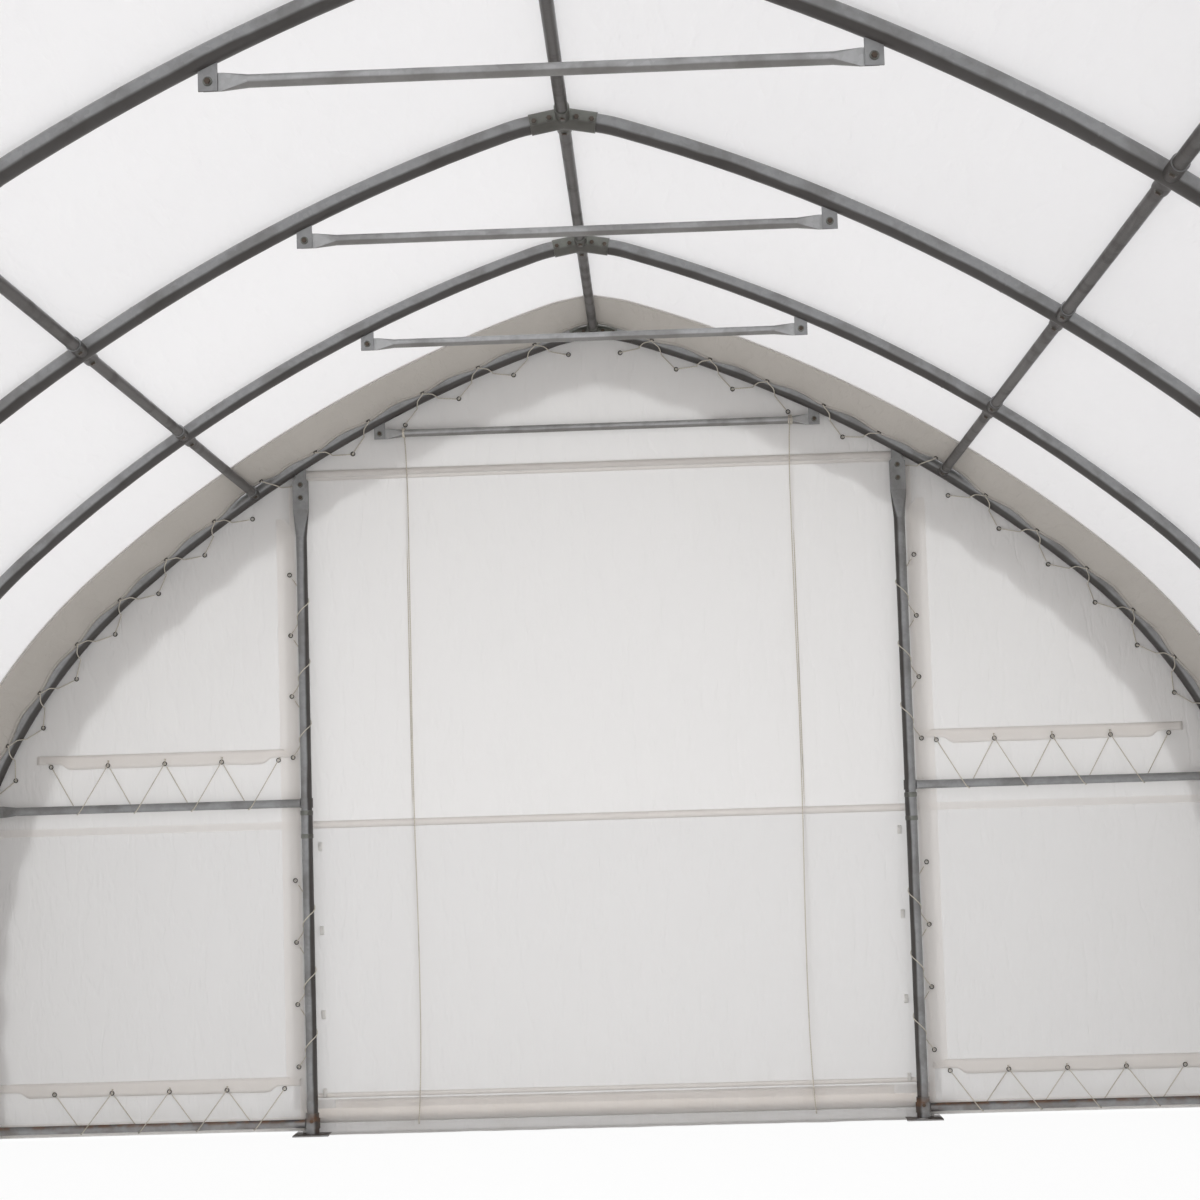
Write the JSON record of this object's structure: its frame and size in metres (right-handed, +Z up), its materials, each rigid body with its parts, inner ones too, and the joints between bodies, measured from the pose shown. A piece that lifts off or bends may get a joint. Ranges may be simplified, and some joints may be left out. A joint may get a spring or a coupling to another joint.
{
  "type": "fabric storage shelter",
  "caption": "Peaked tube-frame storage shelter with purlins, collar ties, laced end walls, a roll-up door at each end and a white sheet cover.",
  "frame": {"origin": "on the ground, below the middle of the ridge", "axes": "+X across the shelter, +Y along it to the closed end wall, +Z up"},
  "size_m": [6.19, 9.3785, 3.6649],
  "materials": {
    "galvanised_tube": "weathered zinc, darker underneath",
    "connector_zinc": "newer, lighter zinc",
    "roof_sheet": "white coated woven sheet, translucent",
    "skirt_sheet": "taupe inner skirt, matt",
    "wall_sheet": "off-white coated woven sheet",
    "rope": "braided natural white cord"
  },
  "bodies": {
    "root": {"arch_1": "galvanised_tube", "arch_2": "galvanised_tube", "arch_3": "galvanised_tube", "arch_4": "galvanised_tube", "arch_5": "galvanised_tube", "arch_6": "galvanised_tube", "arch_7": "galvanised_tube", "ridge_connectors": "connector_zinc", "ridge_purlin": "galvanised_tube", "upper_purlin_left": "galvanised_tube", "upper_purlin_right": "galvanised_tube", "lower_purlin_left": "galvanised_tube", "lower_purlin_right": "galvanised_tube", "collar_tie_1": "galvanised_tube", "collar_tie_2": "galvanised_tube", "collar_tie_3": "galvanised_tube", "collar_tie_4": "galvanised_tube", "collar_tie_5": "galvanised_tube", "collar_tie_6": "galvanised_tube", "collar_tie_7": "galvanised_tube", "arch_feet_left": "galvanised_tube", "arch_feet_right": "galvanised_tube", "post_feet": "galvanised_tube", "far_post_left": "galvanised_tube", "far_post_right": "galvanised_tube", "near_post_left": "galvanised_tube", "near_post_right": "galvanised_tube", "far_rails": "galvanised_tube", "near_rails": "galvanised_tube", "roof_cover_left": "roof_sheet", "roof_cover_right": "roof_sheet", "inner_skirts": "skirt_sheet", "valances": "roof_sheet", "far_panel_left": "wall_sheet", "far_panel_right": "wall_sheet", "near_panel_left": "wall_sheet", "near_panel_right": "wall_sheet", "far_gable": "wall_sheet", "near_gable": "wall_sheet", "far_door": "wall_sheet", "near_door": "wall_sheet", "door_pipes": "galvanised_tube", "door_ropes": "rope"}
  },
  "joints": []
}
